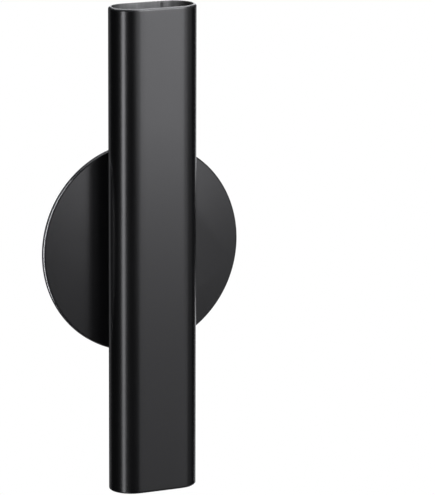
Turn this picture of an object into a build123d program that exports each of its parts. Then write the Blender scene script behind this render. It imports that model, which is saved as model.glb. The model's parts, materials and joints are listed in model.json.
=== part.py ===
from build123d import *
import os

# Hanging wall vase: a flat-oval steel tube, closed at the foot, that hangs by two headed studs
# in the keyholes of a round dished wall plate. Two countersunk screws in plugs hold the plate.
# Lengths are in millimetres. +Z is up, +Y goes into the wall, and the origin is the centre of
# the plate's back rim, on the wall's surface. A standoff is a distance from the wall's surface
# towards the room, so it is minus Y.

# Vase tube and its floor
tube_width = 40.0
tube_depth = 20.0
tube_height = 214.0
tube_wall = 1.5
tube_rise = 1.7  # middle of the tube above the centre of the plate
tube_gap = 1.2  # from the front of the plate to the back of the tube
mouth_outer_round = 0.6
mouth_inner_round = 0.3
foot_round = 0.8
seam_offset = 8.6  # weld seam inside the tube's back, to the right of its middle
seam_width = 1.8
seam_height = 0.4
seam_stop = 0.8  # from the mouth down to the end of the seam
floor_thickness = 2.0
floor_fit = 0.05  # weld gap all round the floor

# Wall plate
plate_diameter = 93.0
plate_sheet = 1.0
plate_edge_round = 0.8
wall_clearance = 0.35  # from the wall to what is inside the dish

# Headed studs on the tube, and the keyholes that they hang in
collar_diameter = 9.0
neck_diameter = 4.0
head_diameter = 7.5
head_thickness = 1.0
slide_clearance = 0.15  # from the sheet to the stud's collar, and to its head
neck_clearance = 0.2  # round the neck in the slot
head_clearance = 0.4  # round the head in the entry hole
lift_travel = 9.0  # from hanging up to the entry hole

# Wall screws and plugs
screw_rim = 13.5  # from the plate's rim in to the middle of a screw
screw_web = 2.75  # sheet left between a keyhole and a countersink
screw_diameter = 3.5
screw_head_diameter = 7.0
screw_length = 30.0
screw_point = 4.0
screw_hole_clearance = 0.25  # round the shank in the plate
countersink_clearance = 0.1  # round the head in the plate
recess_span = 3.8
recess_width = 0.9
recess_depth = 1.2
plug_wall = 1.2
plug_bore_clearance = 0.05  # round the shank in the plug
plug_plain_length = 12.0
plug_slit = 1.0
tooth_count = 5
tooth_pitch = 2.6
tooth_depth = 0.4

# Diameters of the holes, from what goes through them
slot_width = neck_diameter + 2 * neck_clearance
entry_diameter = head_diameter + 2 * head_clearance
sink_mouth = screw_head_diameter + 2 * countersink_clearance
screw_hole = screw_diameter + 2 * screw_hole_clearance
plug_bore = screw_diameter + 2 * plug_bore_clearance
plug_diameter = plug_bore + 2 * plug_wall
sink_depth = (sink_mouth - screw_hole) / 2  # the countersink is a cone of 90 degrees

# Standoffs: the dish is as deep as the stud heads or the pressed countersinks need
depth_for_heads = plate_sheet + slide_clearance + head_thickness + wall_clearance
depth_for_dimples = sink_depth + plate_sheet / 2 + wall_clearance
plate_front = max(depth_for_heads, depth_for_dimples)
plate_inside = plate_front - plate_sheet
tube_back = plate_front + tube_gap
tube_axis = tube_back + tube_depth / 2

# Heights
tube_bottom = tube_rise - tube_height / 2
tube_mouth = tube_rise + tube_height / 2
screw_height = plate_diameter / 2 - screw_rim
stud_reach = screw_height - sink_mouth / 2 - screw_web - entry_diameter / 2
screw_heights = [screw_height, -screw_height]
hung_heights = [stud_reach - lift_travel, -stud_reach]

FROM_BASE = (Align.CENTER, Align.CENTER, Align.MIN)


def at_standoff(standoff, height=0.0):
    """The place in front of the wall at a standoff and a height, with its z axis into the room."""
    return Plane.XZ.offset(standoff) * Pos(0, height)


def post(diameter, start, end, height):
    """A round bar square to the wall between two standoffs, the smaller one first."""
    return at_standoff(start, height) * Cylinder(diameter / 2, end - start, align=FROM_BASE)


def taper(start_diameter, end_diameter, start, end, height):
    """A cone square to the wall between two standoffs, with its diameter at each."""
    return at_standoff(start, height) * Cone(
        start_diameter / 2, end_diameter / 2, end - start, align=FROM_BASE
    )


def flat_oval(inset, bottom, top):
    """A column with the tube's flat-oval section, taken in all round by an inset."""
    outline = SlotOverall(tube_width - 2 * inset, tube_depth - 2 * inset)
    return extrude(Plane.XY.offset(bottom) * Pos(0, -tube_axis) * outline, top - bottom)


def weld_seam():
    """The low bead inside the tube's back wall, from just over the floor to just under the mouth."""
    bottom = tube_bottom + floor_thickness + floor_fit
    top = tube_mouth - seam_stop
    radius = (seam_width**2 / 4 + seam_height**2) / (2 * seam_height)
    bead_axis = tube_back + tube_wall + seam_height - radius
    bead = Pos(seam_offset, -bead_axis, bottom) * Cylinder(radius, top - bottom, align=FROM_BASE)
    return bead & flat_oval(tube_wall / 2, bottom, top)


def vase_tube():
    """The open tube, with rounded edges at its mouth and foot and a weld seam inside."""
    tube = flat_oval(0, tube_bottom, tube_mouth)
    most_round = 0.45 * tube_wall
    tube = fillet(tube.edges().group_by(Axis.Z)[-1], min(mouth_outer_round, most_round))
    tube = fillet(tube.edges().group_by(Axis.Z)[0], min(foot_round, 2 * most_round))
    tube -= flat_oval(tube_wall, tube_bottom, tube_mouth)
    mouth = tube.faces().sort_by(Axis.Z)[-1]
    tube = fillet(mouth.inner_wires()[0].edges(), min(mouth_inner_round, most_round))
    return tube + weld_seam()


def tube_floor():
    """The plate that closes the foot of the tube, flush with its end."""
    return flat_oval(tube_wall + floor_fit, tube_bottom, tube_bottom + floor_thickness)


def hanger_stud(height):
    """A stud on the tube's back: a collar, a neck through the plate, and a head behind the sheet."""
    head_front = plate_inside - slide_clearance
    collar_back = plate_front + slide_clearance
    head = post(head_diameter, head_front - head_thickness, head_front, height)
    neck = post(neck_diameter, head_front, collar_back, height)
    collar = post(collar_diameter, collar_back, tube_back, height)
    return head + neck + collar


def keyhole(hung_height):
    """The cutter for one keyhole: a slot that the neck hangs in, and an entry hole above it."""
    middle = at_standoff(0, hung_height + lift_travel / 2)
    slot = middle * Box(slot_width, lift_travel, plate_front, align=FROM_BASE)
    slot_foot = post(slot_width, 0, plate_front, hung_height)
    entry = post(entry_diameter, 0, plate_front, hung_height + lift_travel)
    return slot + slot_foot + entry


def screw_dimple(height):
    """The sheet pressed back into a cone round a screw hole, and the cutter for the hole."""
    hole_rim = plate_front - sink_depth
    dimple = taper(
        screw_hole + plate_sheet, sink_mouth, hole_rim - plate_sheet / 2, plate_inside, height
    )
    sink = taper(screw_hole, sink_mouth, hole_rim, plate_front, height)
    return dimple, sink + post(screw_hole, 0, plate_front, height)


def wall_plate():
    """The dished plate: a round sheet with a turned rim, two keyholes and two screw dimples."""
    plate = post(plate_diameter, 0, plate_front, 0)
    front_edge = plate.edges().group_by(Axis.Y)[0]
    plate = fillet(front_edge, min(plate_edge_round, 0.9 * plate_sheet))
    plate -= post(plate_diameter - 2 * plate_sheet, 0, plate_inside, 0)
    for height in screw_heights:
        dimple, hole = screw_dimple(height)
        plate = plate + dimple - hole
    for height in hung_heights:
        plate -= keyhole(height)
    return plate


def wall_screw(height):
    """A countersunk screw, flush with the plate's front, with a cross recess and a pointed end."""
    head_base = plate_front - (screw_head_diameter - screw_diameter) / 2
    tip = plate_front - screw_length
    shank_end = tip + screw_point
    head = taper(screw_diameter, screw_head_diameter, head_base, plate_front, height)
    shank = post(screw_diameter, shank_end, head_base, height)
    point = taper(0, screw_diameter, tip, shank_end, height)
    screw = head + shank + point
    recess = at_standoff(plate_front - recess_depth, height)
    for turn in (0, 90):
        blade = Box(recess_span, recess_width, recess_depth, align=FROM_BASE)
        screw -= recess * Rot(0, 0, turn) * blade
    return screw


def wall_plug(height):
    """A plug flush with the wall: a plain neck, then saw teeth on two legs that the screw spreads."""
    plug = post(plug_diameter, -plug_plain_length, 0, height)
    for tooth in range(tooth_count):
        tooth_start = -plug_plain_length - tooth * tooth_pitch
        valley_diameter = plug_diameter - 2 * tooth_depth
        plug += taper(valley_diameter, plug_diameter, tooth_start - tooth_pitch, tooth_start, height)
    toothed_length = tooth_count * tooth_pitch
    plug_end = -plug_plain_length - toothed_length
    plug -= post(plug_bore, plug_end, 0, height)
    slit = Box(plug_diameter, plug_slit, toothed_length, align=FROM_BASE)
    return plug - at_standoff(plug_end, height) * slit


def main():
    pieces = {
        "vase_tube": vase_tube(),
        "tube_floor": tube_floor(),
        "wall_plate": wall_plate(),
    }
    for place, hung, screwed in zip(("upper", "lower"), hung_heights, screw_heights):
        pieces[f"hanger_stud_{place}"] = hanger_stud(hung)
        pieces[f"wall_screw_{place}"] = wall_screw(screwed)
        pieces[f"wall_plug_{place}"] = wall_plug(screwed)
    os.makedirs("parts", exist_ok=True)
    for name, piece in pieces.items():
        piece.label = name
        export_step(piece, f"parts/{name}.step")


main()
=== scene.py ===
"""Looks of the hanging wall vase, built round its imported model. Lengths are in metres."""

import json
from math import atan2, cos, hypot, pi, radians, sin

import bmesh
import bpy
from bpy.props import FloatProperty, FloatVectorProperty, PointerProperty
from mathutils import Matrix, Vector, noise

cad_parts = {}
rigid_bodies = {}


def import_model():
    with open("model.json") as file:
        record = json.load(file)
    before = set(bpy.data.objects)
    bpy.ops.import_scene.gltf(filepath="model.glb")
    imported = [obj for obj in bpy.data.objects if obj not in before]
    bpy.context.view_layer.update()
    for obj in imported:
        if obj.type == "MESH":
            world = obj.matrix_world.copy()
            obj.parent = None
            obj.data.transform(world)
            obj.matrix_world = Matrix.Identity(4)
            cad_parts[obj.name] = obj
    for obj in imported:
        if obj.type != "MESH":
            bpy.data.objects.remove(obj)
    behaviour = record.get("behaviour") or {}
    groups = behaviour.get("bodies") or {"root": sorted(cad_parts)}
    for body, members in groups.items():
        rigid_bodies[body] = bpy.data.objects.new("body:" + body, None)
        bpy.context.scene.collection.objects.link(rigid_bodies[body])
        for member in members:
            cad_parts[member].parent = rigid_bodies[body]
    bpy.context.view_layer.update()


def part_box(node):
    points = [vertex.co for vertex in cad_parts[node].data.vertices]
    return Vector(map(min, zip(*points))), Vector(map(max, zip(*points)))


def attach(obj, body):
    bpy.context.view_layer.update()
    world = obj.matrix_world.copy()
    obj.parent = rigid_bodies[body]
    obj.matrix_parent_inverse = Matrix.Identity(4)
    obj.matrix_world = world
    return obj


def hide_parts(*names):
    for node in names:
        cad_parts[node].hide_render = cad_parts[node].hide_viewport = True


bl_info = {
    "name": "Hanging wall vase",
    "version": (1, 0, 0),
    "blender": (4, 5, 0),
    "location": "3D View > Sidebar > Wall vase",
    "description": "Flat-oval tube vase on a round wall plate, with fixings, finishes and studio",
    "category": "Object",
}

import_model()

MM = 0.001
TOUCHING = 0.0005 * MM  # Vertices this close count as one
SHARP_FROM = radians(32)  # Edges sharper than this are not shaded smooth
tube_low, tube_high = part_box("vase_tube")
floor_low, floor_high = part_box("tube_floor")
plate_low, plate_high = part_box("wall_plate")
stud_low, stud_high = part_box("hanger_stud_upper")
screw_low, screw_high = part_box("wall_screw_upper")
_, plug_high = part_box("wall_plug_upper")
tube_axis_y = (tube_low.y + tube_high.y) / 2
PLACES = ("upper", "lower")


def linear(hex_colour):
    """The linear colour of an sRGB hex value such as #0b0b0c."""
    parts = [int(hex_colour[i : i + 2], 16) / 255 for i in (1, 3, 5)]
    return [c / 12.92 if c <= 0.04045 else ((c + 0.055) / 1.055) ** 2.4 for c in parts]


def length_prop(name, description, default):
    """A length that a user may change, in metres."""
    return FloatProperty(
        name=name, description=description, default=default, min=0.0, precision=5, unit="LENGTH"
    )


def colour_prop(name, description, hex_colour):
    """A colour that a user may change."""
    return FloatVectorProperty(
        name=name,
        description=description,
        default=linear(hex_colour),
        min=0.0,
        max=1.0,
        subtype="COLOR",
    )


def gloss_prop(name, description, default):
    """A roughness that a user may change."""
    return FloatProperty(
        name=name, description=description, default=default, min=0.0, max=1.0, subtype="FACTOR"
    )


def angle_prop(name, description, degrees):
    """An angle that a user may change."""
    return FloatProperty(
        name=name, description=description, default=radians(degrees), subtype="ANGLE"
    )


class VaseTubeSizes(bpy.types.PropertyGroup):
    """Sizes of the tube, its floor and its welds."""

    width: length_prop("Width", "Across the tube's flat front", tube_high.x - tube_low.x)
    depth: length_prop("Depth", "From the tube's front to its back", tube_high.y - tube_low.y)
    wall: length_prop("Wall", "Thickness of the tube's sheet", 1.5 * MM)
    mouth_outer_round: length_prop("Mouth, outside", "Round on the mouth's outer edge", 1.1 * MM)
    mouth_inner_round: length_prop("Mouth, inside", "Round on the mouth's inner edge", 0.3 * MM)
    foot_round: length_prop("Foot", "Round on the foot's outer edge", 0.8 * MM)
    run_out: length_prop("Run-out", "Reach of the soft change from a flat to a round", 2.5 * MM)
    run_out_drop: length_prop("Run-out drop", "From the flats in to the rounds", 0.1 * MM)
    seam_offset: length_prop("Seam place", "From the middle of the back to the seam", 8.6 * MM)
    seam_width: length_prop("Seam width", "Width of the weld seam inside the back", 1.8 * MM)
    seam_height: length_prop("Seam height", "How far the seam stands off the wall", 0.4 * MM)
    seam_stop: length_prop("Seam end", "From the mouth down to the end of the seam", 0.8 * MM)
    weld_leg: length_prop("Weld leg", "Size of the weld beads at the floor and studs", 0.5 * MM)
    weld_ripple: length_prop("Weld ripple", "Spacing of the ripples on a weld bead", 0.9 * MM)

    @property
    def half_straight(self):
        """From the middle of the tube to the centre of each round."""
        return (self.width - self.depth) / 2


class VaseFixingSizes(bpy.types.PropertyGroup):
    """Sizes of the wall plate, studs, screws and plugs."""

    sheet: length_prop("Sheet", "Thickness of the wall plate", 1.0 * MM)
    rim_round: length_prop("Rim round", "Round on the plate's front edge", 0.8 * MM)
    neck: length_prop("Neck", "Diameter of a stud's neck", 4.0 * MM)
    head: length_prop("Head", "Diameter of a stud's head", 7.5 * MM)
    head_thickness: length_prop("Head thickness", "Thickness of a stud's head", 1.0 * MM)
    play: length_prop("Play", "From the sheet to a stud's head and to its collar", 0.15 * MM)
    slot: length_prop("Slot", "Width of a keyhole's slot", 4.4 * MM)
    entry: length_prop("Entry", "Diameter of a keyhole's entry", 8.3 * MM)
    lift: length_prop("Lift", "From a hanging stud up to the entry", 9.0 * MM)
    sink: length_prop("Countersink", "Diameter of a screw hole at the front", 7.2 * MM)
    hole: length_prop("Screw hole", "Diameter of a screw hole at its neck", 4.0 * MM)
    thread: length_prop("Thread", "Diameter over the thread's crests", 3.5 * MM)
    core: length_prop("Core", "Diameter at the thread's roots", 2.2 * MM)
    pitch: length_prop("Pitch", "Rise of the thread in one turn", 1.6 * MM)
    point: length_prop("Point", "Length of the screw's tapered end", 4.0 * MM)
    recess: length_prop("Recess", "Span of the cross recess", 3.8 * MM)
    recess_depth: length_prop("Recess depth", "Depth of the cross recess", 1.2 * MM)
    bore: length_prop("Bore", "Diameter of a plug's bore", 3.6 * MM)
    plain: length_prop("Plain neck", "Length of a plug before its teeth", 12.0 * MM)
    tooth_pitch: length_prop("Tooth pitch", "Spacing of a plug's teeth", 2.6 * MM)
    tooth_depth: length_prop("Tooth depth", "Depth of a plug's teeth", 0.4 * MM)
    slit: length_prop("Slit", "Gap between a plug's legs", 1.0 * MM)


class VaseFinish(bpy.types.PropertyGroup):
    """Colours and gloss of the finishes."""

    coat: colour_prop("Powder coat", "Black of the tube, plate and studs", "#0b0b0c")
    inside: colour_prop("Inside", "Thin grey coat inside the tube", "#7c7c7c")
    zinc: colour_prop("Zinc", "Plating of the screws", "#b4b7ba")
    nylon: colour_prop("Nylon", "Moulded wall plugs", "#9a9c9e")
    tube_roughness: gloss_prop("Tube roughness", "Roughness of the tube's coat", 0.26)
    plate_roughness: gloss_prop("Plate roughness", "Roughness of the plate's coat", 0.26)


class VaseStudio(bpy.types.PropertyGroup):
    """Camera and light."""

    yaw: angle_prop("Yaw", "Camera to the left of the front", 24.85)
    pitch: angle_prop("Pitch", "Camera above the horizon", 12.26)
    distance: length_prop("Distance", "From the camera to the tube", 1.7156)
    aim_right: length_prop("Aim right", "From the tube to the middle of the picture", 0.02829)
    aim_up: length_prop("Aim up", "From the tube to the middle of the picture", 0.00035)
    lens: FloatProperty(
        name="Lens",
        description="Focal length of the camera, in millimetres",
        default=286.8,
        min=1.0,
        unit="CAMERA",
    )
    floor_drop: length_prop("Floor drop", "From the plate's centre down to the floor", 1.4)
    backdrop: colour_prop("Backdrop", "Floor and surroundings, to the camera", "#ffffff")


def add_node(tree, kind, inputs=None, **settings):
    """Adds a node with its settings. Each input is set to a value or linked to an output."""
    node = tree.nodes.new(kind)
    for name, value in settings.items():
        setattr(node, name, value)
    for key, value in (inputs or {}).items():
        if isinstance(value, bpy.types.NodeSocket):
            tree.links.new(value, node.inputs[key])
        else:
            node.inputs[key].default_value = value
    return node


def new_material(name):
    """An empty material, and its node tree."""
    material = bpy.data.materials.new(name)
    material.use_nodes = True
    material.node_tree.nodes.clear()
    return material, material.node_tree


def shade(colour, share=1.0):
    """A colour, darkened or lightened by a share, as a colour socket takes it."""
    return (*[min(share * part, 1.0) for part in colour], 1.0)


# Index of refraction of the baked polyester, and of the plate's slightly duller coat
COAT_IOR, PLATE_IOR = 1.5, 1.42


def powder_coat(name, colour, roughness, ior, bare=None):
    """Satin polyester powder coat, baked on steel. It is black with a soft, even gloss, and its
    surface has a faint orange peel with a fine grain in it. Where bare gives a colour, the inside
    of the tube has only a thin grey dust of powder, with painted shade darkening it into the
    rounds, and the mouth's rim is rubbed paler, partly as a painted highlight."""
    material, tree = new_material(name)
    place = add_node(tree, "ShaderNodeTexCoord").outputs["Object"]
    # Orange peel: swells about 2.2 mm apart. Grain: drawn at 0.35 mm, coarser than real, to show.
    peel = add_node(
        tree, "ShaderNodeTexNoise", {"Vector": place, "Scale": 1 / (2.2 * MM), "Detail": 1.0}
    ).outputs["Fac"]
    grain = add_node(
        tree, "ShaderNodeTexNoise", {"Vector": place, "Scale": 1 / (0.35 * MM), "Detail": 2.0}
    ).outputs["Fac"]
    # Broad drifts of film thickness, about 45 mm across
    drift = add_node(
        tree, "ShaderNodeTexNoise", {"Vector": place, "Scale": 1 / (45 * MM), "Detail": 2.0}
    ).outputs["Fac"]
    swell = add_node(
        tree, "ShaderNodeBump", {"Height": peel, "Strength": 1.0, "Distance": 0.006 * MM}
    ).outputs["Normal"]
    normal = add_node(
        tree,
        "ShaderNodeBump",
        {"Height": grain, "Strength": 1.0, "Distance": 0.0012 * MM, "Normal": swell},
    ).outputs["Normal"]
    speckle = add_node(
        tree,
        "ShaderNodeMapRange",
        {"Value": grain, "From Min": 0.3, "From Max": 0.7, "To Min": 0.8, "To Max": 1.25},
    ).outputs["Result"]
    base = add_node(
        tree,
        "ShaderNodeMix",
        {"Factor": 1.0, 6: shade(colour), 7: speckle},
        data_type="RGBA",
        blend_type="MULTIPLY",
    ).outputs[2]
    spread = 0.012
    gloss = add_node(
        tree,
        "ShaderNodeMapRange",
        {
            "Value": drift,
            "From Min": 0.3,
            "From Max": 0.7,
            "To Min": roughness - spread,
            "To Max": roughness + spread,
        },
    ).outputs["Result"]
    if bare is not None:
        base, gloss = inside_of_tube(tree, place, grain, base, gloss, bare)
    shader = add_node(
        tree,
        "ShaderNodeBsdfPrincipled",
        {"Base Color": base, "Roughness": gloss, "IOR": ior, "Normal": normal},
    )
    add_node(tree, "ShaderNodeOutputMaterial", {"Surface": shader.outputs["BSDF"]})
    return material


def inside_of_tube(tree, place, grain, base, gloss, bare):
    """Changes the coat's colour and gloss where the tube differs: the edge of its mouth is rubbed
    a little paler, partly as a painted highlight on its rim, and its inside has only a thin
    grey coat, with a dark weld seam and painted shade where it darkens into the rounds."""
    sizes = bpy.context.scene.vase_tube
    radius = sizes.depth / 2
    seam = (sizes.seam_offset, tube_axis_y + radius - sizes.wall, 0.0)
    axes = add_node(tree, "ShaderNodeSeparateXYZ", {"Vector": place}).outputs
    # Distance from the flat oval's middle line tells the wall's inner side from its outer one
    section = add_node(
        tree, "ShaderNodeVectorMath", {0: place, 1: (1.0, 1.0, 0.0)}, operation="MULTIPLY"
    ).outputs["Vector"]
    offset = add_node(
        tree,
        "ShaderNodeVectorMath",
        {0: section, 1: (0.0, tube_axis_y, 0.0)},
        operation="SUBTRACT",
    ).outputs["Vector"]
    offset = add_node(
        tree, "ShaderNodeVectorMath", {0: offset}, operation="ABSOLUTE"
    ).outputs["Vector"]
    offset = add_node(
        tree,
        "ShaderNodeVectorMath",
        {0: offset, 1: (sizes.half_straight, 0.0, 0.0)},
        operation="SUBTRACT",
    ).outputs["Vector"]
    offset = add_node(
        tree, "ShaderNodeVectorMath", {0: offset, 1: (0.0, 0.0, 0.0)}, operation="MAXIMUM"
    ).outputs["Vector"]
    distance = add_node(
        tree, "ShaderNodeVectorMath", {0: offset}, operation="LENGTH"
    ).outputs["Value"]
    inside = add_node(
        tree,
        "ShaderNodeMapRange",
        {
            "Value": distance,
            "From Min": radius - sizes.wall + 0.3 * MM,
            "From Max": radius - sizes.wall + 0.02 * MM,
        },
    ).outputs["Result"]
    # The rubbed edge, paler also as a painted highlight on the mouth's rim: the last millimetre
    # below the mouth, uneven by its grain
    edge = add_node(
        tree,
        "ShaderNodeMapRange",
        {
            "Value": axes["Z"],
            "From Min": tube_high.z - 1.0 * MM,
            "From Max": tube_high.z - 0.4 * MM,
        },
    ).outputs["Result"]
    worn_and_highlight = add_node(
        tree, "ShaderNodeMath", {0: edge, 1: grain}, operation="MULTIPLY"
    ).outputs["Value"]
    base = add_node(
        tree,
        "ShaderNodeMix",
        {"Factor": worn_and_highlight, 6: base, 7: shade(linear("#404142"))},
        data_type="RGBA",
    ).outputs[2]
    # Streaks down the tube, about 2.5 mm wide and 20 mm long
    streaks = add_node(
        tree,
        "ShaderNodeTexNoise",
        {
            "Vector": add_node(
                tree, "ShaderNodeMapping", {"Vector": place, "Scale": (1.0, 1.0, 0.12)}
            ).outputs["Vector"],
            "Scale": 1 / (2.5 * MM),
            "Detail": 3.0,
        },
    ).outputs["Fac"]
    streaked = add_node(
        tree,
        "ShaderNodeMapRange",
        {"Value": streaks, "From Min": 0.25, "From Max": 0.75, "To Min": 0.6, "To Max": 1.35},
    ).outputs["Result"]
    # Painted shade: the grey is full on the flat walls, reaching a little further on the right,
    # and darkens into the rounds
    aside = add_node(
        tree, "ShaderNodeMath", {0: axes["X"], 1: 2.0 * MM}, operation="SUBTRACT"
    ).outputs["Value"]
    aside = add_node(tree, "ShaderNodeMath", {0: aside}, operation="ABSOLUTE").outputs["Value"]
    painted_round_shade = add_node(
        tree,
        "ShaderNodeMapRange",
        {
            "Value": aside,
            "From Min": 8.5 * MM,
            "From Max": 18.5 * MM,
            "To Min": 1.0,
            "To Max": 0.05,
        },
    ).outputs["Result"]
    cover_and_shade = add_node(
        tree, "ShaderNodeMath", {0: streaked, 1: painted_round_shade}, operation="MULTIPLY"
    ).outputs["Value"]
    # The weld bead on the back wall takes less of it
    to_seam = add_node(
        tree, "ShaderNodeVectorMath", {0: section, 1: seam}, operation="DISTANCE"
    ).outputs["Value"]
    taken = add_node(
        tree,
        "ShaderNodeMapRange",
        {
            "Value": to_seam,
            "From Min": 0.5 * MM,
            "From Max": 1.2 * MM,
            "To Min": 0.45,
            "To Max": 1.0,
        },
    ).outputs["Result"]
    cover_and_shade = add_node(
        tree, "ShaderNodeMath", {0: cover_and_shade, 1: taken}, operation="MULTIPLY"
    ).outputs["Value"]
    # The thin grey coat, with its streaks, its dark seam and the painted shade in the rounds
    dusting_and_shade = add_node(
        tree,
        "ShaderNodeMix",
        {"Factor": 1.0, 6: shade(bare), 7: cover_and_shade},
        data_type="RGBA",
        blend_type="MULTIPLY",
    ).outputs[2]
    base = add_node(
        tree, "ShaderNodeMix", {"Factor": inside, 6: base, 7: dusting_and_shade}, data_type="RGBA"
    ).outputs[2]
    gloss = add_node(tree, "ShaderNodeMix", {"Factor": inside, 2: gloss, 3: 0.5}).outputs[0]
    return base, gloss


def zinc_plating(name, colour):
    """Bright zinc on a rolled steel screw. It is a cool grey metal with faint clouds in its
    gloss."""
    material, tree = new_material(name)
    place = add_node(tree, "ShaderNodeTexCoord").outputs["Object"]
    # Clouds in the passivated layer, about 1.5 mm across
    clouds = add_node(
        tree, "ShaderNodeTexNoise", {"Vector": place, "Scale": 1 / (1.5 * MM), "Detail": 3.0}
    ).outputs["Fac"]
    base = add_node(
        tree,
        "ShaderNodeMix",
        {"Factor": clouds, 6: shade(colour, 0.8), 7: shade(colour, 1.1)},
        data_type="RGBA",
    ).outputs[2]
    gloss = add_node(
        tree, "ShaderNodeMapRange", {"Value": clouds, "To Min": 0.22, "To Max": 0.42}
    ).outputs["Result"]
    shader = add_node(
        tree,
        "ShaderNodeBsdfPrincipled",
        {"Base Color": base, "Roughness": gloss, "Metallic": 1.0},
    )
    add_node(tree, "ShaderNodeOutputMaterial", {"Surface": shader.outputs["BSDF"]})
    return material


def moulded_nylon(name, colour):
    """Grey nylon 6 from a spark-eroded mould. It is a waxy, half-matt plastic with a fine
    grain."""
    material, tree = new_material(name)
    place = add_node(tree, "ShaderNodeTexCoord").outputs["Object"]
    # Mould grain, drawn at 0.25 mm, coarser than real, to show
    grain = add_node(
        tree, "ShaderNodeTexNoise", {"Vector": place, "Scale": 1 / (0.25 * MM), "Detail": 2.0}
    ).outputs["Fac"]
    # Flow marks along the plug, about 4 mm long
    flow = add_node(
        tree,
        "ShaderNodeTexNoise",
        {
            "Vector": add_node(
                tree, "ShaderNodeMapping", {"Vector": place, "Scale": (1.0, 0.3, 1.0)}
            ).outputs["Vector"],
            "Scale": 1 / (1.2 * MM),
            "Detail": 2.0,
        },
    ).outputs["Fac"]
    base = add_node(
        tree,
        "ShaderNodeMix",
        {"Factor": flow, 6: shade(colour, 0.88), 7: shade(colour, 1.1)},
        data_type="RGBA",
    ).outputs[2]
    gloss = add_node(
        tree, "ShaderNodeMapRange", {"Value": grain, "To Min": 0.38, "To Max": 0.58}
    ).outputs["Result"]
    normal = add_node(
        tree, "ShaderNodeBump", {"Height": grain, "Strength": 1.0, "Distance": 0.008 * MM}
    ).outputs["Normal"]
    shader = add_node(
        tree,
        "ShaderNodeBsdfPrincipled",
        {"Base Color": base, "Roughness": gloss, "IOR": 1.53, "Normal": normal},
    )
    add_node(tree, "ShaderNodeOutputMaterial", {"Surface": shader.outputs["BSDF"]})
    return material


def shared_material(name, make, *settings):
    """The material of that name, made once."""
    return bpy.data.materials.get(name) or make(name, *settings)


def welded_coat(finish):
    """The coat on the small pieces that are welded to the tube."""
    return shared_material(
        "satin_black_powder_coat_fixings",
        powder_coat,
        finish.coat,
        finish.tube_roughness,
        COAT_IOR,
    )


def rounded_line(bm, corners, closed=False):
    """Edges through the corners, each given as a place and the radius that rounds it off."""
    verts = [bm.verts.new(place) for place, _ in corners]
    bm.faces.new(verts)
    closing = bm.edges.get((verts[-1], verts[0]))
    for vert, (_, radius) in zip(verts, corners):
        if radius > 0:
            bmesh.ops.bevel(
                bm,
                geom=[vert],
                offset=radius,
                affect="VERTICES",
                segments=6,
                profile=0.5,
                material=-1,
            )
    bmesh.ops.delete(bm, geom=bm.faces[:], context="FACES_ONLY")
    if not closed:
        bmesh.ops.delete(bm, geom=[closing], context="EDGES")
    return bm.verts[:] + bm.edges[:]


def settle(bm):
    """Sorts edges and faces by their vertices, because their order differs from run to run."""
    bm.verts.index_update()
    count = len(bm.verts)
    for parts in (bm.edges, bm.faces):
        ends = {part: [vert.index for vert in part.verts] for part in parts}
        parts.sort(key=lambda part: min(ends[part]) * count + max(ends[part]))


def face_outwards(bm):
    """Turns all faces of a closed bmesh outwards."""
    settle(bm)
    bmesh.ops.recalc_face_normals(bm, faces=bm.faces[:])
    if bm.calc_volume(signed=True) < 0:
        bmesh.ops.reverse_faces(bm, faces=bm.faces[:])


def close_up(bm):
    """Merges doubles and turns all faces outwards."""
    bmesh.ops.remove_doubles(bm, verts=bm.verts[:], dist=TOUCHING)
    face_outwards(bm)


def extrude_by(bm, vec):
    """Draws a flat bmesh out into a solid."""
    raised = bmesh.ops.extrude_face_region(bm, geom=bm.faces[:])["geom"]
    verts = [v for v in raised if isinstance(v, bmesh.types.BMVert)]
    bmesh.ops.translate(bm, verts=verts, vec=vec)


def block(bm, place, size, angle=0.0):
    """Adds a block at a place, turned about the y axis."""
    bmesh.ops.create_cube(
        bm,
        size=1.0,
        matrix=Matrix.Translation(place)
        @ Matrix.Rotation(angle, 4, "Y")
        @ Matrix.Diagonal((*size, 1)),
    )


def oval_sweep(bm, geom, half_straight, steps=48):
    """Carries a line once round the flat oval: a half turn, a straight, a half turn, a straight.
    The line starts at the back, over the centre of the right-hand round."""
    for side in (1, -1):
        turned = bmesh.ops.spin(
            bm,
            geom=geom,
            cent=(side * half_straight, tube_axis_y, 0),
            axis=(0, 0, -1),
            angle=pi,
            steps=steps,
        )
        edges = [e for e in turned["geom_last"] if isinstance(e, bmesh.types.BMEdge)]
        geom = bmesh.ops.extrude_edge_only(bm, edges=edges)["geom"]
        bmesh.ops.translate(
            bm,
            verts=[v for v in geom if isinstance(v, bmesh.types.BMVert)],
            vec=(-2 * side * half_straight, 0, 0),
        )
        geom = [g for g in geom if not isinstance(g, bmesh.types.BMFace)]
    close_up(bm)


def ease_rounds(bm, sizes):
    """Lets the flats fall away softly before they meet the rounds, as on a rolled tube."""
    start = sizes.half_straight - sizes.run_out
    for vert in bm.verts:
        share = min(max((abs(vert.co.x) - start) / (2 * sizes.run_out), 0), 1)
        drop = share * share * (3 - 2 * share) * sizes.run_out_drop
        kept = 1 - drop / (sizes.depth / 2)
        vert.co.y = tube_axis_y + (vert.co.y - tube_axis_y) * kept


def turn(corners, steps=96, closed=False):
    """A bmesh turned round the y axis from corners given as radius, standoff and round."""
    bm = bmesh.new()
    geom = rounded_line(bm, [((r, -standoff, 0), edge) for r, standoff, edge in corners], closed)
    bmesh.ops.spin(
        bm, geom=geom, cent=(0, 0, 0), axis=(0, 1, 0), angle=2 * pi, steps=steps, use_merge=True
    )
    close_up(bm)
    return bm


def loop_cut(bm, place, direction):
    """Cuts a loop of edges right round a bmesh, in the plane through a place."""
    bmesh.ops.bisect_plane(
        bm,
        geom=bm.verts[:] + bm.edges[:] + bm.faces[:],
        dist=TOUCHING,
        plane_co=place,
        plane_no=direction,
    )


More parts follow.
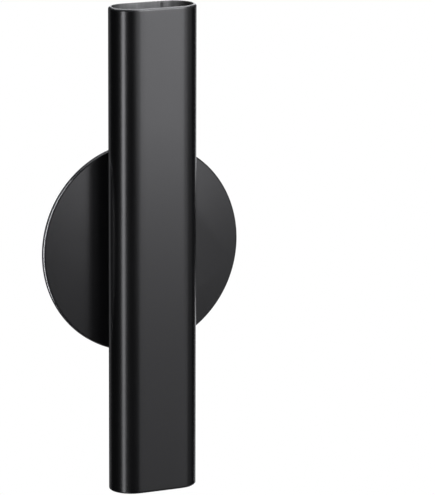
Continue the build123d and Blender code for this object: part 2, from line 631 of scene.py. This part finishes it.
def join(bm, other, matrix=Matrix()):
    """Adds another bmesh to this one, moved by a matrix, and frees it."""
    mesh = bpy.data.meshes.new("joined")
    other.to_mesh(mesh)
    other.free()
    mesh.transform(matrix)
    bm.from_mesh(mesh)
    bpy.data.meshes.remove(mesh)


def combine(bm, cutter, operation):
    """A bmesh united with another, or cut by it."""
    pair = []
    for name, shape in (("shape", bm), ("cutter", cutter)):
        mesh = bpy.data.meshes.new(name)
        settle(shape)
        shape.to_mesh(mesh)
        shape.free()
        pair.append(bpy.data.objects.new(name, mesh))
        bpy.context.scene.collection.objects.link(pair[-1])
    shape, cutter = pair
    modifier = shape.modifiers.new(operation, "BOOLEAN")
    modifier.object = cutter
    modifier.operation = operation
    modifier.solver = "EXACT"
    modifier.use_self = True
    evaluated = shape.evaluated_get(bpy.context.evaluated_depsgraph_get())
    result = bmesh.new()
    result.from_mesh(evaluated.to_mesh())
    evaluated.to_mesh_clear()
    for obj in pair:
        bpy.data.meshes.remove(obj.data)
    return result


def add_piece(name, bm, material, body, node):
    """Makes a bmesh into a piece that stands for a CAD node and rides on its body."""
    mesh = bpy.data.meshes.new(name)
    settle(bm)
    bm.to_mesh(mesh)
    bm.free()
    mesh.shade_smooth()
    mesh.set_sharp_from_angle(angle=SHARP_FROM)
    mesh.materials.append(material)
    obj = bpy.data.objects.new(name, mesh)
    bpy.context.scene.collection.objects.link(obj)
    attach(obj, body)
    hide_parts(node)


def level(node):
    """Height of the middle of a CAD node."""
    low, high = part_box(node)
    return (low.z + high.z) / 2


def weld_seam(sizes):
    """The uneven bead that the tube mill leaves inside the back wall, sunk a little into it."""
    bm = bmesh.new()
    wall_y = tube_axis_y + sizes.depth / 2 - sizes.wall
    half, height, sunk = sizes.seam_width / 2, sizes.seam_height, 0.3 * MM
    bottom, top = floor_high.z, tube_high.z - sizes.seam_stop
    corners = [
        ((sizes.seam_offset - half, wall_y + sunk, bottom), 0),
        ((sizes.seam_offset - half, wall_y, bottom), 0),
        ((sizes.seam_offset - half / 3, wall_y - height, bottom), half / 2),
        ((sizes.seam_offset + half / 3, wall_y - height, bottom), half / 2),
        ((sizes.seam_offset + half, wall_y, bottom), 0),
        ((sizes.seam_offset + half, wall_y + sunk, bottom), 0),
    ]
    rounded_line(bm, corners, closed=True)
    bmesh.ops.contextual_create(bm, geom=bm.edges[:])
    extrude_by(bm, (0, 0, top - bottom))
    upright = [e for e in bm.edges if abs(e.verts[0].co.z - e.verts[1].co.z) > height]
    bmesh.ops.subdivide_edges(bm, edges=upright, cuts=170)
    # Waves per metre: of the bead's height across and along it, and of its line along it, which
    # is read from a row of the noise apart from the height's
    across, along, sway, apart = 300, 420, 150, 7
    for vert in bm.verts:
        if vert.co.y < wall_y - height / 4:
            swell = noise.noise(Vector((vert.co.x * across, 0, vert.co.z * along)))
            vert.co.y -= 0.3 * height * swell
            vert.co.x += 0.12 * half * noise.noise(Vector((apart, 0, vert.co.z * sway)))
    face_outwards(bm)
    return bm


def weld_ring(sizes, radius, standoff):
    """A rippled fillet weld round a stud's collar, on the tube's back."""
    leg = sizes.weld_leg
    corners = [
        (radius - leg / 2, standoff, 0),
        (radius - leg / 2, standoff - leg, 0),
        (radius + leg / 4, standoff - leg, leg / 3),
        (radius + leg, standoff - leg / 3, leg / 3),
        (radius + leg, standoff, 0),
    ]
    ripples = round(2 * pi * radius / sizes.weld_ripple)
    bm = turn(corners, steps=6 * ripples, closed=True)
    for vert in bm.verts:
        from_axis = hypot(vert.co.x, vert.co.z)
        if from_axis > radius and vert.co.y > -standoff + leg / 10:
            angle = Vector((vert.co.x, vert.co.z)).angle_signed(Vector((1, 0)))
            vert.co.y -= 0.12 * leg * (1 + cos(ripples * angle))
    return bm


class VASE_OT_tube(bpy.types.Operator):
    """Builds the flat-oval tube with its rounded mouth and foot and the seam inside"""

    bl_idname = "vase.tube"
    bl_label = "Tube"

    def execute(self, context):
        sizes, finish = context.scene.vase_tube, context.scene.vase_finish
        half_straight = sizes.half_straight
        outer_y = tube_axis_y + sizes.depth / 2
        inner_y = outer_y - sizes.wall
        bm = bmesh.new()
        corners = [
            ((half_straight, outer_y, tube_low.z), sizes.foot_round),
            ((half_straight, outer_y, tube_high.z), sizes.mouth_outer_round),
            ((half_straight, inner_y, tube_high.z), sizes.mouth_inner_round),
            ((half_straight, inner_y, tube_low.z), 0),
        ]
        oval_sweep(bm, rounded_line(bm, corners, closed=True), half_straight)
        # Loops next to the rounds keep the flats flat in smooth shading
        beside = 0.5 * MM
        loop_cut(bm, (0, 0, tube_low.z + sizes.foot_round + beside), (0, 0, 1))
        loop_cut(bm, (0, 0, tube_high.z - sizes.mouth_outer_round - beside), (0, 0, 1))
        for side in (1, -1):
            for share in (1.1, 1.0, 0.8, 0.6, 0.4, 0.2):
                loop_cut(bm, (side * (half_straight - share * sizes.run_out), 0, 0), (1, 0, 0))
        ease_rounds(bm, sizes)
        join(bm, weld_seam(sizes))
        coat = powder_coat(
            "satin_black_powder_coat_tube",
            finish.coat,
            finish.tube_roughness,
            COAT_IOR,
            finish.inside,
        )
        add_piece("oval_tube", bm, coat, "vase", "vase_tube")
        return {"FINISHED"}


class VASE_OT_foot(bpy.types.Operator):
    """Builds the floor that closes the foot, with the weld that holds it"""

    bl_idname = "vase.foot"
    bl_label = "Foot plate"

    def execute(self, context):
        sizes = context.scene.vase_tube
        half_straight, leg = sizes.half_straight, sizes.weld_leg
        edge_y = floor_high.y
        bm = bmesh.new()
        plate = [
            ((half_straight, tube_axis_y, floor_high.z), 0),
            ((half_straight, edge_y, floor_high.z), 0.2 * MM),
            ((half_straight, edge_y, floor_low.z), 1.6 * leg),
            ((half_straight, tube_axis_y, floor_low.z), 0),
        ]
        oval_sweep(bm, rounded_line(bm, plate), half_straight)
        bead = bmesh.new()
        outer, inner = edge_y + 0.4 * leg, edge_y - 1.6 * leg
        under, root = floor_low.z + 0.1 * leg, floor_low.z + 1.8 * leg
        weld = [
            ((half_straight, outer, under), 0.3 * leg),
            ((half_straight, outer, root), 0),
            ((half_straight, inner, root), 0),
            ((half_straight, inner, under), 0.3 * leg),
        ]
        oval_sweep(bead, rounded_line(bead, weld, closed=True), half_straight, steps=160)
        along = [e for e in bead.edges if abs(e.verts[0].co.x - e.verts[1].co.x) > half_straight]
        bmesh.ops.subdivide_edges(bead, edges=along, cuts=110)
        for vert in bead.verts:
            if vert.co.z < floor_low.z + 0.2 * leg:
                past = max(abs(vert.co.x) - half_straight, 0)
                angle = Vector((past, vert.co.y - tube_axis_y)).angle_signed(Vector((1, 0)))
                run = sizes.depth / 2 * angle if past else vert.co.x
                vert.co.z += 0.2 * leg * (1 + cos(2 * pi * run / sizes.weld_ripple))
        join(bm, bead)
        ease_rounds(bm, sizes)
        coat = welded_coat(context.scene.vase_finish)
        add_piece("foot_plate", bm, coat, "vase", "tube_floor")
        return {"FINISHED"}


class VASE_OT_studs(bpy.types.Operator):
    """Builds the two headed studs on the tube's back, with their welds"""

    bl_idname = "vase.studs"
    bl_label = "Hanger studs"

    def execute(self, context):
        sizes, welds = context.scene.vase_fixing, context.scene.vase_tube
        plate_front = -plate_low.y
        plate_inside = plate_front - sizes.sheet
        tube_back = -tube_high.y
        collar = (stud_high.x - stud_low.x) / 2
        head_front = plate_inside - sizes.play
        head_back = head_front - sizes.head_thickness
        collar_back = plate_front + sizes.play
        corners = [
            (0, head_back + 0.3 * MM, 0),
            (0.6 * MM, head_back, 0),
            (sizes.head / 2, head_back, 0.25 * MM),
            (sizes.head / 2, head_front, 0.15 * MM),
            (sizes.neck / 2, head_front, 0.15 * MM),
            (sizes.neck / 2, collar_back, 0.15 * MM),
            (collar, collar_back, 0.2 * MM),
            (collar, tube_back, 0),
            (0, tube_back, 0),
        ]
        coat = welded_coat(context.scene.vase_finish)
        for place in PLACES:
            node = f"hanger_stud_{place}"
            bm = turn(corners)
            join(bm, weld_ring(welds, collar, tube_back))
            bmesh.ops.translate(bm, verts=bm.verts[:], vec=(0, 0, level(node)))
            add_piece(f"headed_stud_{place}", bm, coat, "vase", node)
        return {"FINISHED"}


def keyhole(sizes, hung, start, end):
    """The cutters of a keyhole, between two standoffs: a round-ended slot and a round entry."""
    shapes = []
    for radius, height, stretch in (
        (sizes.slot / 2, hung, sizes.lift),
        (sizes.entry / 2, hung + sizes.lift, 0),
    ):
        bm = bmesh.new()
        bmesh.ops.create_circle(bm, cap_ends=True, segments=64, radius=radius)
        for vert in bm.verts:
            if vert.co.y > 0:
                vert.co.y += stretch
        extrude_by(bm, (0, 0, end - start))
        bmesh.ops.rotate(bm, verts=bm.verts[:], matrix=Matrix.Rotation(pi / 2, 3, "X"))
        bmesh.ops.translate(bm, verts=bm.verts[:], vec=(0, -start, height))
        face_outwards(bm)
        shapes.append(bm)
    return shapes


class VASE_OT_plate(bpy.types.Operator):
    """Builds the dished wall plate with its keyholes and countersunk screw holes"""

    bl_idname = "vase.plate"
    bl_label = "Wall plate"

    def execute(self, context):
        sizes, finish = context.scene.vase_fixing, context.scene.vase_finish
        front = -plate_low.y
        inside = front - sizes.sheet
        rim = plate_high.x
        dish = [
            (0, front, 0),
            (rim, front, sizes.rim_round),
            (rim, 0, 0.15 * MM),
            (rim - sizes.sheet, 0, 0.15 * MM),
            (rim - sizes.sheet, inside, 0.3 * MM),
            (0, inside, 0),
        ]
        bm = turn(dish, steps=256)
        hole_rim = front - (sizes.sink - sizes.hole) / 2
        in_sheet = front - 0.3 * sizes.sheet
        dimple = turn(
            [
                (0, in_sheet, 0),
                (sizes.sink / 2, in_sheet, 0),
                (sizes.sink / 2 + 0.25 * MM, inside, 0),
                (sizes.hole / 2 + sizes.sheet / 2, hole_rim - sizes.sheet / 2, 0.1 * MM),
                (0, hole_rim - sizes.sheet / 2, 0),
            ]
        )
        over = 0.5 * MM
        sink = turn(
            [
                (0, front + over, 0),
                (sizes.sink / 2 + over, front + over, 0),
                (sizes.hole / 2, hole_rim, 0),
                (sizes.hole / 2, -over, 0),
                (0, -over, 0),
            ]
        )
        dimples, cuts = bmesh.new(), bmesh.new()
        for place in PLACES:
            screw_at = Matrix.Translation((0, 0, level(f"wall_screw_{place}")))
            join(dimples, dimple.copy(), screw_at)
            join(cuts, sink.copy(), screw_at)
            hung = level(f"hanger_stud_{place}")
            for cutter in keyhole(sizes, hung, inside - over, front + over):
                join(cuts, cutter)
        dimple.free()
        sink.free()
        bm = combine(bm, dimples, "UNION")
        bm = combine(bm, cuts, "DIFFERENCE")
        bmesh.ops.dissolve_limit(
            bm, angle_limit=radians(0.05), verts=bm.verts[:], edges=bm.edges[:]
        )
        coat = powder_coat(
            "satin_black_powder_coat_plate", finish.coat, finish.plate_roughness, PLATE_IOR
        )
        add_piece("dished_plate", bm, coat, "wall_fixing", "wall_plate")
        return {"FINISHED"}


def screw_thread(sizes, start, tip):
    """The threaded end, from one standoff to the tip, about the y axis. It tapers to a point."""
    bm = bmesh.new()
    core, crest, pitch = sizes.core / 2, sizes.thread / 2, sizes.pitch
    # One turn of the thread, given as radius and share of the pitch
    flank = [(core, 0.0), (core, 0.38), (crest, 0.48), (crest, 0.52), (core, 0.62), (core, 1.0)]
    verts = [bm.verts.new((radius, -start + pitch * share, 0)) for radius, share in flank]
    edges = [bm.edges.new(pair) for pair in zip(verts, verts[1:])]
    steps_per_turn, blunt = 28, 0.02
    steps = int(((start - tip) / pitch - 1) * steps_per_turn)
    bmesh.ops.spin(
        bm,
        geom=verts + edges,
        cent=(0, 0, 0),
        axis=(0, 1, 0),
        dvec=(0, pitch / steps_per_turn, 0),
        angle=2 * pi * steps / steps_per_turn,
        steps=steps,
    )
    bmesh.ops.remove_doubles(bm, verts=bm.verts[:], dist=0.001 * MM)
    bmesh.ops.holes_fill(bm, edges=[e for e in bm.edges if e.is_boundary], sides=0)
    for vert in bm.verts:
        left = -tip - vert.co.y
        if left < sizes.point:
            share = max(left / sizes.point, blunt)
            vert.co.x *= share
            vert.co.z *= share
    face_outwards(bm)
    return bm


class VASE_OT_screws(bpy.types.Operator):
    """Builds the two countersunk wall screws with a cross recess and a thread"""

    bl_idname = "vase.screws"
    bl_label = "Wall screws"

    def execute(self, context):
        sizes, finish = context.scene.vase_fixing, context.scene.vase_finish
        top, tip = -screw_low.y, -screw_high.y
        head, shank = screw_high.x, 1.3 * MM
        blade, taper = 0.9 * MM, 0.6
        thread_start = -4 * MM
        cone_end = top - (head - shank)
        body = [
            (0, top, 0),
            (head, top, 0.12 * MM),
            (shank, cone_end, 0.5 * MM),
            (shank, thread_start - sizes.pitch, 0),
            (0, thread_start - sizes.pitch, 0),
        ]
        zinc = shared_material("zinc_plated_steel", zinc_plating, finish.zinc)
        for place in PLACES:
            node = f"wall_screw_{place}"
            recess = bmesh.new()
            for angle in (0, pi / 2):
                block(recess, (0, 0, 0), (sizes.recess, 2 * sizes.recess_depth, blade), angle)
            for vert in recess.verts:
                if vert.co.y > 0:
                    vert.co.x *= taper
                    vert.co.z *= taper
            bmesh.ops.translate(recess, verts=recess.verts[:], vec=(0, -top, 0))
            bm = combine(turn(body, steps=64), recess, "DIFFERENCE")
            join(bm, screw_thread(sizes, thread_start, tip))
            bmesh.ops.translate(bm, verts=bm.verts[:], vec=(0, 0, level(node)))
            add_piece(f"countersunk_screw_{place}", bm, zinc, "wall_fixing", node)
        return {"FINISHED"}


class VASE_OT_plugs(bpy.types.Operator):
    """Builds the two nylon wall plugs with their teeth, legs and fins"""

    bl_idname = "vase.plugs"
    bl_label = "Wall plugs"

    def execute(self, context):
        sizes, finish = context.scene.vase_fixing, context.scene.vase_finish
        radius, end = plug_high.x, -plug_high.y
        valley = radius - sizes.tooth_depth
        corners = [(sizes.bore / 2, 0, 0.15 * MM), (radius, 0, 0.3 * MM)]
        edge = -sizes.plain
        while edge - sizes.tooth_pitch > end - 0.01 * MM:
            corners += [(radius, edge, 0.08 * MM), (valley, edge - sizes.tooth_pitch, 0)]
            edge -= sizes.tooth_pitch
        corners += [(sizes.bore / 2, end, 0.1 * MM)]
        legs, over = -sizes.plain - end, 1.0 * MM
        fin_middle, fin_length = 0.55 * sizes.plain, 0.75 * sizes.plain
        fin_width, fin_thickness = 0.7 * MM, 0.6 * MM
        nylon = shared_material("moulded_grey_nylon", moulded_nylon, finish.nylon)
        for place in PLACES:
            node = f"wall_plug_{place}"
            slit = bmesh.new()
            block(slit, (0, -end - (legs - over) / 2, 0), (3 * radius, legs + over, sizes.slit))
            bm = combine(turn(corners, steps=72, closed=True), slit, "DIFFERENCE")
            for side in (1, -1):
                fin = bmesh.new()
                block(fin, (side * radius, fin_middle, 0), (fin_width, fin_length, fin_thickness))
                # The fin's outer edge is thinner and shorter
                for vert in fin.verts:
                    if vert.co.x * side > radius:
                        vert.co.z *= 0.5
                        vert.co.y = fin_middle + 0.8 * (vert.co.y - fin_middle)
                join(bm, fin)
            bmesh.ops.translate(bm, verts=bm.verts[:], vec=(0, 0, level(node)))
            add_piece(f"nylon_plug_{place}", bm, nylon, "wall_fixing", node)
        return {"FINISHED"}


COOL_WHITE = (1.0, 1.0, 1.04)
SENSOR_WIDTH = 36.0  # Millimetres
# Softboxes that stand upright and face the tube, given as degrees to the right of its front,
# distance, width, bottom, top and brightness. A brightness of 1 is white.
UPRIGHT_BOXES = {
    # Large box in front on the right, brightest in the middle: the grey sheen of the flat front
    "key": (25.5, 0.80, 0.20, -0.12, 0.45, 3.0),
    "key_soft": (24, 0.82, 0.76, -0.12, 0.46, 1.2),
    "key_wide": (32, 0.85, 1.61, -0.12, 0.48, 0.46),
    # Dim box under it: the sheen fades towards the foot
    "low": (32, 0.80, 0.62, -0.40, -0.12, 0.86),
    "low_wide": (66, 0.85, 0.50, -0.42, -0.12, 0.17),
    # Tall strip on the left: the bright band down the left-hand round
    "strip": (-63.7, 1.00, 0.24, -0.70, 0.28, 4.8),
    "strip_upper": (-63.7, 1.03, 0.31, -0.20, 0.36, 2.7),
    # Boxes behind, over and under the level of the vase: its rims and its back
    "back_high": (150, 1.00, 0.42, 0.06, 0.60, 2.0),
    "back_low": (135, 1.00, 0.65, -1.10, -0.47, 4.0),
    "back": (136, 1.00, 0.55, -0.47, 0.06, 1.1),
    # Dim box low on the left, for the front as seen from the right
    "low_left": (-50, 0.90, 0.34, -0.95, -0.48, 1.2),
    # Reflector behind on the left: the bright line on the plate's rim
    "plate_rim": (-110, 0.45, 0.14, -0.40, 0.50, 46.0),
    # Dim reflector far behind: the faint line down the tube's left-hand edge
    "tube_edge": (-164, 1.00, 0.34, -0.60, 0.30, 0.26),
}
# Lamps that light one piece as if the others weren't there
LIT_ALONE = {"plate_rim": "dished_plate", "tube_edge": "oval_tube"}
# Softboxes overhead that face the vase, given as place, width, length and brightness
OVERHEAD_BOXES = {
    "top": ((0.12, 0.45, 0.78), 1.00, 0.50, 4.0),
    "over": ((0.37, -0.08, 0.93), 0.60, 0.60, 4.5),
    "front_top": ((0.37, -0.65, 0.64), 0.36, 0.55, 8.0),
}


class VASE_OT_stage(bpy.types.Operator):
    """Sets up the pale floor, the white surroundings, the lamps and the camera"""

    bl_idname = "vase.stage"
    bl_label = "Stage"

    def execute(self, context):
        studio = context.scene.vase_studio
        centre = (tube_low + tube_high) / 2
        self.front_camera(context, studio, centre)
        for name, (side, distance, width, bottom, top, brightness) in UPRIGHT_BOXES.items():
            axis = Vector((centre.x, centre.y, (bottom + top) / 2))
            turned = radians(side)
            place = axis + distance * Vector((sin(turned), -cos(turned), 0))
            lamp = self.softbox(context, name, place, axis, width, top - bottom, brightness)
            if name in LIT_ALONE:
                alone = bpy.data.collections.new(f"{name}_alone")
                alone.objects.link(bpy.data.objects[LIT_ALONE[name]])
                lamp.light_linking.receiver_collection = alone
                lamp.light_linking.blocker_collection = alone
        for name, (place, width, length, brightness) in OVERHEAD_BOXES.items():
            self.softbox(context, name, Vector(place), Vector(), width, length, brightness)
        self.white_world(context, studio.backdrop)
        self.pale_floor(context, studio)
        context.scene.view_settings.view_transform = "Standard"
        return {"FINISHED"}

    def front_camera(self, context, studio, centre):
        """A camera in front on the left, set at the tube's centre and then turned to its aim."""
        forward = Vector(
            (
                sin(studio.yaw) * cos(studio.pitch),
                cos(studio.yaw) * cos(studio.pitch),
                -sin(studio.pitch),
            )
        )
        camera_data = bpy.data.cameras.new("camera")
        camera_data.lens = studio.lens
        camera_data.sensor_width = SENSOR_WIDTH
        camera = bpy.data.objects.new("camera", camera_data)
        context.scene.collection.objects.link(camera)
        straight = forward.to_track_quat("-Z", "Y").to_matrix()
        aside = Matrix.Rotation(-atan2(studio.aim_right, studio.distance), 3, "Y")
        upwards = Matrix.Rotation(atan2(studio.aim_up, studio.distance), 3, "X")
        camera.matrix_world = Matrix.Translation(centre - studio.distance * forward) @ (
            straight @ aside @ upwards
        ).to_4x4()
        context.scene.camera = camera

    def softbox(self, context, name, place, aim, width, length, brightness):
        """An area lamp that the camera doesn't see."""
        lamp = bpy.data.lights.new(name, "AREA")
        lamp.shape = "RECTANGLE"
        lamp.size, lamp.size_y = width, length
        lamp.energy = brightness * pi * width * length
        lamp.color = COOL_WHITE
        obj = bpy.data.objects.new(name, lamp)
        context.scene.collection.objects.link(obj)
        obj.location = place
        obj.rotation_euler = (aim - place).to_track_quat("-Z", "Y").to_euler()
        obj.visible_camera = False
        return obj

    def white_world(self, context, colour):
        """White to the camera. To gloss, a dim studio with a pale patch behind the vase."""
        world = bpy.data.worlds.new("studio")
        world.use_nodes = True
        tree = world.node_tree
        tree.nodes.clear()
        rays = add_node(tree, "ShaderNodeLightPath").outputs
        direction = add_node(tree, "ShaderNodeTexCoord").outputs["Generated"]
        # The patch lies a little above the camera's line, and fades out between two angles from
        # its middle
        patch, inner, outer = Vector((0.41, 0.9, 0.12)), radians(12), radians(20)
        toward = add_node(
            tree,
            "ShaderNodeVectorMath",
            {0: direction, 1: patch.normalized()},
            operation="DOT_PRODUCT",
        ).outputs["Value"]
        pale = add_node(
            tree,
            "ShaderNodeMapRange",
            {"Value": toward, "From Min": cos(outer), "From Max": cos(inner), "To Max": 0.35},
        ).outputs["Result"]
        seen = add_node(
            tree,
            "ShaderNodeMath",
            {0: rays["Is Glossy Ray"], 1: rays["Is Transmission Ray"]},
            operation="MAXIMUM",
        ).outputs[0]
        seen = add_node(
            tree, "ShaderNodeMath", {0: seen, 1: pale}, operation="MULTIPLY"
        ).outputs[0]
        seen = add_node(
            tree, "ShaderNodeMath", {0: seen, 1: rays["Is Camera Ray"]}, operation="MAXIMUM"
        ).outputs[0]
        dim = add_node(tree, "ShaderNodeBackground", {"Color": shade(linear("#212122"))})
        white = add_node(tree, "ShaderNodeBackground", {"Color": shade(colour)})
        both = add_node(
            tree,
            "ShaderNodeMixShader",
            {0: seen, 1: dim.outputs["Background"], 2: white.outputs["Background"]},
        )
        add_node(tree, "ShaderNodeOutputWorld", {"Surface": both.outputs["Shader"]})
        context.scene.world = world

    def pale_floor(self, context, studio):
        """A round of pale floor far below, because the vase hangs on a wall."""
        material, tree = new_material("pale_floor")
        rays = add_node(tree, "ShaderNodeLightPath").outputs
        paint = add_node(tree, "ShaderNodeBsdfDiffuse", {"Color": shade(linear("#e7e7e7"))})
        white = add_node(tree, "ShaderNodeEmission", {"Color": shade(studio.backdrop)})
        both = add_node(
            tree,
            "ShaderNodeMixShader",
            {0: rays["Is Camera Ray"], 1: paint.outputs["BSDF"], 2: white.outputs["Emission"]},
        )
        add_node(tree, "ShaderNodeOutputMaterial", {"Surface": both.outputs["Shader"]})
        bm = bmesh.new()
        bmesh.ops.create_circle(bm, cap_ends=True, segments=96, radius=0.9)
        bmesh.ops.translate(bm, verts=bm.verts[:], vec=(0, 0, -studio.floor_drop))
        mesh = bpy.data.meshes.new("floor")
        bm.to_mesh(mesh)
        bm.free()
        mesh.materials.append(material)
        floor = bpy.data.objects.new("floor", mesh)
        context.scene.collection.objects.link(floor)


class VASE_PT_panel(bpy.types.Panel):
    """Lists the pieces of the wall vase with their sizes and finishes"""

    bl_idname = "VASE_PT_panel"
    bl_label = "Wall vase"
    bl_space_type = "VIEW_3D"
    bl_region_type = "UI"
    bl_category = "Wall vase"

    def draw(self, context):
        for operator in OPERATORS:
            self.layout.operator(operator.bl_idname)
        for group in GROUPS:
            settings = getattr(context.scene, group)
            box = self.layout.box()
            for name in settings.__annotations__:
                box.prop(settings, name)


OPERATORS = (
    VASE_OT_tube,
    VASE_OT_foot,
    VASE_OT_studs,
    VASE_OT_plate,
    VASE_OT_screws,
    VASE_OT_plugs,
    VASE_OT_stage,
)
GROUPS = {
    "vase_tube": VaseTubeSizes,
    "vase_fixing": VaseFixingSizes,
    "vase_finish": VaseFinish,
    "vase_studio": VaseStudio,
}


def register():
    for cls in (*GROUPS.values(), *OPERATORS, VASE_PT_panel):
        bpy.utils.register_class(cls)
    for name, group in GROUPS.items():
        setattr(bpy.types.Scene, name, PointerProperty(type=group))


def unregister():
    for name in GROUPS:
        delattr(bpy.types.Scene, name)
    for cls in (VASE_PT_panel, *reversed(OPERATORS), *reversed(GROUPS.values())):
        bpy.utils.unregister_class(cls)


def main():
    register()
    bpy.ops.vase.tube()
    bpy.ops.vase.foot()
    bpy.ops.vase.studs()
    bpy.ops.vase.plate()
    bpy.ops.vase.screws()
    bpy.ops.vase.plugs()
    bpy.ops.vase.stage()


if __name__ == "__main__":
    main()
